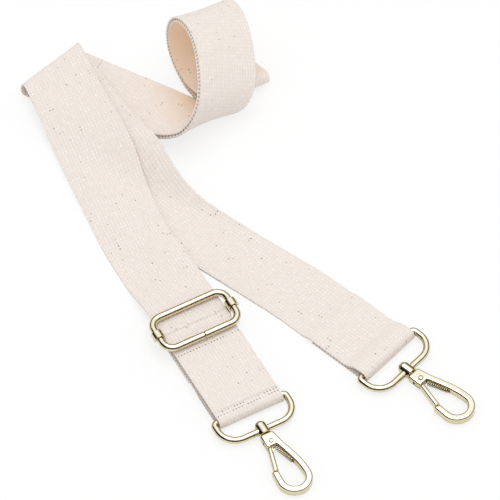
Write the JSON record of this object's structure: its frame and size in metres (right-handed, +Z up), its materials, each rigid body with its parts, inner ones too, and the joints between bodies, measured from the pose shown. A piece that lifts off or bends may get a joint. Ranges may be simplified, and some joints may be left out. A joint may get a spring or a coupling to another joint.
{
  "type": "bag strap",
  "caption": "Detachable adjustable shoulder strap: woven webbing, doubled and partly rolled up, with a tri-glide slider and a swivel snap hook at each end.",
  "frame": {"origin": "on the surface that the strap lies on, under the back run, 80 mm before the bar of ring B", "axes": "+Z up from the surface; the back run ends pointing to hook B 41.8 degrees clockwise from +X, and the front run to hook A 61.5 degrees clockwise from +X"},
  "size_m": [0.2399, 0.3013, 0.0519],
  "materials": {
    "webbing": "off-white plain-woven cotton-look webbing, matte, with a fine lengthwise rib",
    "thread": "off-white sewing thread",
    "gold_plate": "pale gold plating, polished"
  },
  "bodies": {
    "strap": {"webbing_roll": "webbing", "webbing_back_run": "webbing", "webbing_front_run": "webbing", "stitching_b": "thread"},
    "slider": {"slider_frame": "gold_plate", "slider_bar": "gold_plate", "webbing_sewn_end": "webbing", "stitching_a": "thread", "webbing_lead_run": "webbing"},
    "hook_end_a": {"webbing_ring_loop": "webbing", "webbing_adjust_run": "webbing", "webbing_return_run": "webbing"},
    "tilting_ring_a": {"ring_a": "gold_plate"},
    "hook_a": {"hook_body_a": "gold_plate", "swivel_stem_a": "gold_plate", "gate_pin_a": "gold_plate", "gate_spring_a": "gold_plate"},
    "hinged_gate_a": {"gate_a": "gold_plate"},
    "tilting_ring_b": {"ring_b": "gold_plate"},
    "hook_b": {"hook_body_b": "gold_plate", "swivel_stem_b": "gold_plate", "gate_pin_b": "gold_plate", "gate_spring_b": "gold_plate"},
    "hinged_gate_b": {"gate_b": "gold_plate"}
  },
  "joints": [
    {"name": "slider_slide", "type": "slide", "parent": "strap", "child": "slider", "axis": [0.4772, -0.8788, 0], "range_m": [-0.025, 0.04], "deforming": ["webbing_lead_run"]},
    {"name": "end_a_slide", "type": "slide", "parent": "slider", "child": "hook_end_a", "axis": [0.4772, -0.8788, 0], "range_m": [-0.02, 0.0125], "deforming": ["webbing_adjust_run", "webbing_return_run"]},
    {"name": "ring_a_tilt", "type": "hinge", "parent": "hook_end_a", "child": "tilting_ring_a", "pos_m": [-0.01196, -0.0879, 0.0037], "axis": [-0.8788, -0.4772, 0], "range_deg": [-130, 130]},
    {"name": "hook_a_swivel", "type": "hinge", "parent": "tilting_ring_a", "child": "hook_a", "pos_m": [-0.0048, -0.10108, 0.00346], "axis": [0.4771, -0.8787, -0.0157], "continuous": true},
    {"name": "gate_a_open", "type": "hinge", "parent": "hook_a", "child": "hinged_gate_a", "pos_m": [-0.00041, -0.10917, 0.00332], "axis": [0.0075, -0.0138, 0.9999], "range_deg": [0, 24], "stiffness_Nm_per_rad": 0.03, "springref_deg": -20.05, "deforming": ["gate_spring_a"]},
    {"name": "ring_b_tilt", "type": "hinge", "parent": "strap", "child": "tilting_ring_b", "pos_m": [0.05964, -0.05332, 0.0037], "axis": [-0.6665, -0.7455, 0], "range_deg": [-130, 130]},
    {"name": "hook_b_swivel", "type": "hinge", "parent": "tilting_ring_b", "child": "hook_b", "pos_m": [0.07082, -0.06332, 0.00346], "axis": [0.7454, -0.6665, -0.0157], "continuous": true},
    {"name": "gate_b_open", "type": "hinge", "parent": "hook_b", "child": "hinged_gate_b", "pos_m": [0.07768, -0.06945, 0.00332], "axis": [0.0117, -0.0105, 0.9999], "range_deg": [0, 24], "stiffness_Nm_per_rad": 0.03, "springref_deg": -20.05, "deforming": ["gate_spring_b"]}
  ],
  "couplings": [
    {"joint": "end_a_slide", "follows": "slider_slide", "ratio": -0.5}
  ]
}
